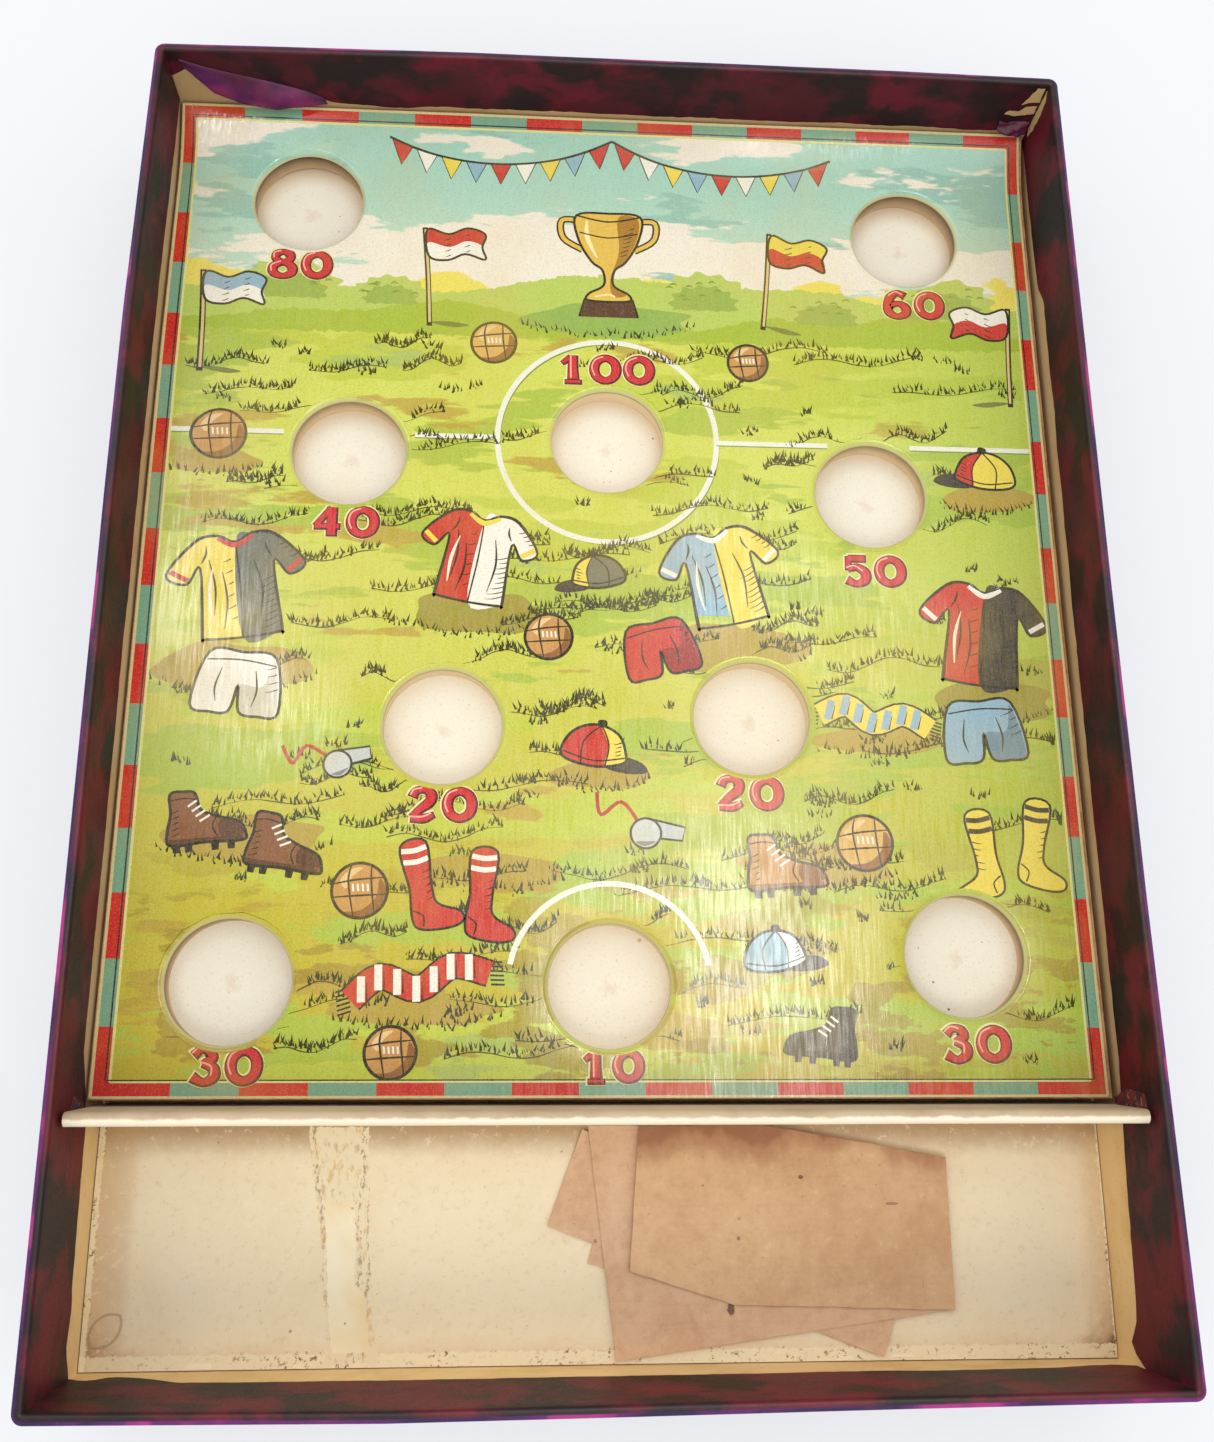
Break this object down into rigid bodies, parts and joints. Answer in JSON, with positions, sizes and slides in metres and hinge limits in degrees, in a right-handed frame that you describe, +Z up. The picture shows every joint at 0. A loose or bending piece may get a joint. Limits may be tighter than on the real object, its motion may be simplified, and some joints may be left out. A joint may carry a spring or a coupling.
{
  "type": "table football game",
  "caption": "Boxed table game: a shallow paper-covered card tray with a raised playing board full of round scoring pockets, and a storage compartment.",
  "frame": {"origin": "centre of the tray's footprint, on the table it stands on", "axes": "+Y along the tray's long side, from the storage compartment to the far end of the playing board; +X across it to the right; +Z up"},
  "size_m": [0.25, 0.34, 0.042],
  "materials": {
    "strawboard": "matt raw strawboard, tan, with fine fibres",
    "marbled_paper": "satin marbled covering paper, maroon to near black, violet at worn edges",
    "cream_paper": "matt cream lining paper with brown spots",
    "base_paper": "matt plain paper under the box",
    "cream_card": "smooth cream card with light foxing",
    "printed_paper": "varnished colour print, green field with a red and teal border",
    "kraft_paper": "matt brown wrapping paper"
  },
  "bodies": {
    "tray": {"bottom_board": "strawboard", "left_wall": "strawboard", "right_wall": "strawboard", "far_wall": "strawboard", "near_wall": "strawboard", "corner_stays": "cream_paper", "left_cover": "marbled_paper", "right_cover": "marbled_paper", "far_cover": "marbled_paper", "near_cover": "marbled_paper", "base_paper": "base_paper", "floor_lining": "cream_paper", "divider_card": "cream_card"},
    "playing_inset": {"riser_left": "strawboard", "riser_right": "strawboard", "riser_far": "strawboard", "riser_near": "strawboard", "riser_middle": "strawboard", "pocket_card": "cream_card", "playing_board": "strawboard", "playing_print": "printed_paper"},
    "bottom_slip": {"bottom_slip": "kraft_paper"},
    "middle_slip": {"middle_slip": "kraft_paper"},
    "folded_slip": {"folded_slip": "kraft_paper"}
  },
  "joints": [
    {"name": "inset_lift", "type": "slide", "parent": "tray", "child": "playing_inset", "axis": [0, 0, 1], "range_m": [0, 0.045]},
    {"name": "bottom_slip_lift", "type": "slide", "parent": "tray", "child": "bottom_slip", "axis": [0, 0, 1], "range_m": [0, 0.05]},
    {"name": "middle_slip_lift", "type": "slide", "parent": "bottom_slip", "child": "middle_slip", "axis": [0, 0, 1], "range_m": [0, 0.05]},
    {"name": "folded_slip_lift", "type": "slide", "parent": "middle_slip", "child": "folded_slip", "axis": [0, 0, 1], "range_m": [0, 0.05]}
  ]
}
